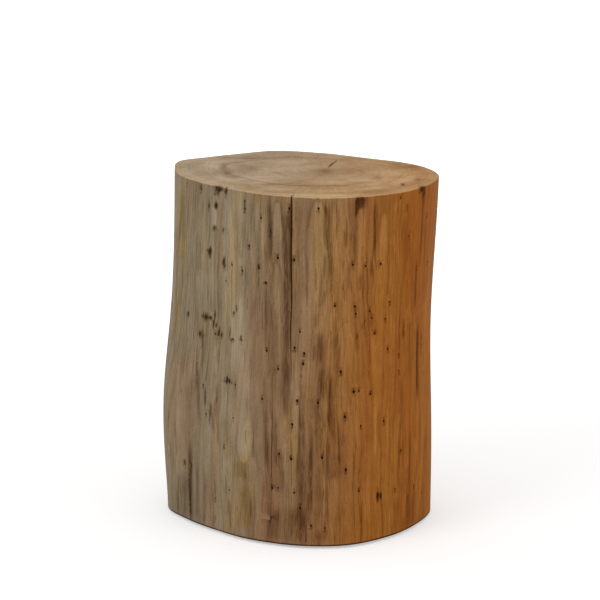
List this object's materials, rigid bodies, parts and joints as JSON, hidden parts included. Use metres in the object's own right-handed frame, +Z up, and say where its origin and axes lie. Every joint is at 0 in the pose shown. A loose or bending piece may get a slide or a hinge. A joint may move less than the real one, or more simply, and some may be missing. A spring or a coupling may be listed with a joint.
{
  "type": "block stool",
  "caption": "Solid block stool: a sanded, bark-free length of tree trunk with drying checks and beetle holes, on small screwed felt glides.",
  "frame": {"origin": "on the floor, under the middle of the trunk's plan box", "axes": "+Z up along the trunk, +X to the stool's right as pictured, -Y towards the side that was pictured"},
  "size_m": [0.358, 0.3405, 0.45],
  "materials": {
    "trunk_wood": "sanded bare wood, lightly waxed, honey brown",
    "glide_nylon": "dark brown moulded nylon",
    "glide_felt": "dense grey-brown pressed felt",
    "screw_steel": "zinc-plated steel"
  },
  "bodies": {
    "root": {"trunk_block": "trunk_wood", "glide_cup_1": "glide_nylon", "glide_cup_2": "glide_nylon", "glide_cup_3": "glide_nylon", "glide_cup_4": "glide_nylon", "glide_felt_1": "glide_felt", "glide_felt_2": "glide_felt", "glide_felt_3": "glide_felt", "glide_felt_4": "glide_felt", "glide_screw_1": "screw_steel", "glide_screw_2": "screw_steel", "glide_screw_3": "screw_steel", "glide_screw_4": "screw_steel"}
  },
  "joints": []
}
